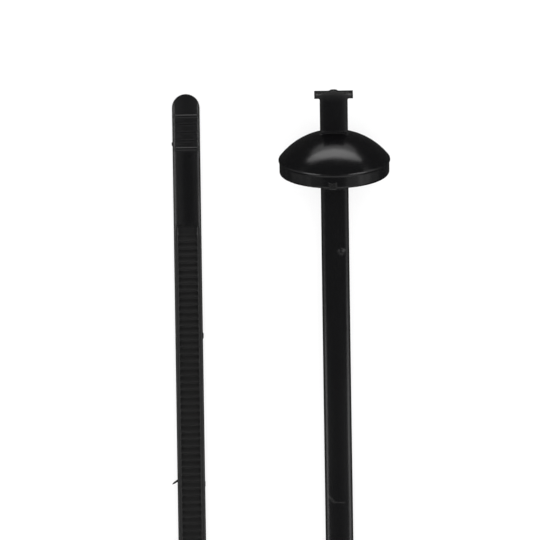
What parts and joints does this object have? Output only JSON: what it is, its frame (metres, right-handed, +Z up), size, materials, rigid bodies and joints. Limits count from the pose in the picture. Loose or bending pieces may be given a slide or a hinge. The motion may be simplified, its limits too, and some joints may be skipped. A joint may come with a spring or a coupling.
{
  "type": "dome head cable tie with T stud mount",
  "caption": "Black nylon cable tie bent in a U, with a hollow dome head, a flat T stud to mount it, a toothed strap and a ribbed tail.",
  "frame": {"origin": "middle of the underside of the tie's box, on the surface that it lies on", "axes": "+Y from the bend of the U towards the stud and the tail's tip, +Z up from the surface, +X towards the head leg"},
  "size_m": [0.0376, 0.1326, 0.019],
  "materials": {
    "nylon": "moulded black nylon 6/6, satin strap and glossy dome"
  },
  "bodies": {
    "root": {"cable_tie": "nylon"}
  },
  "joints": []
}
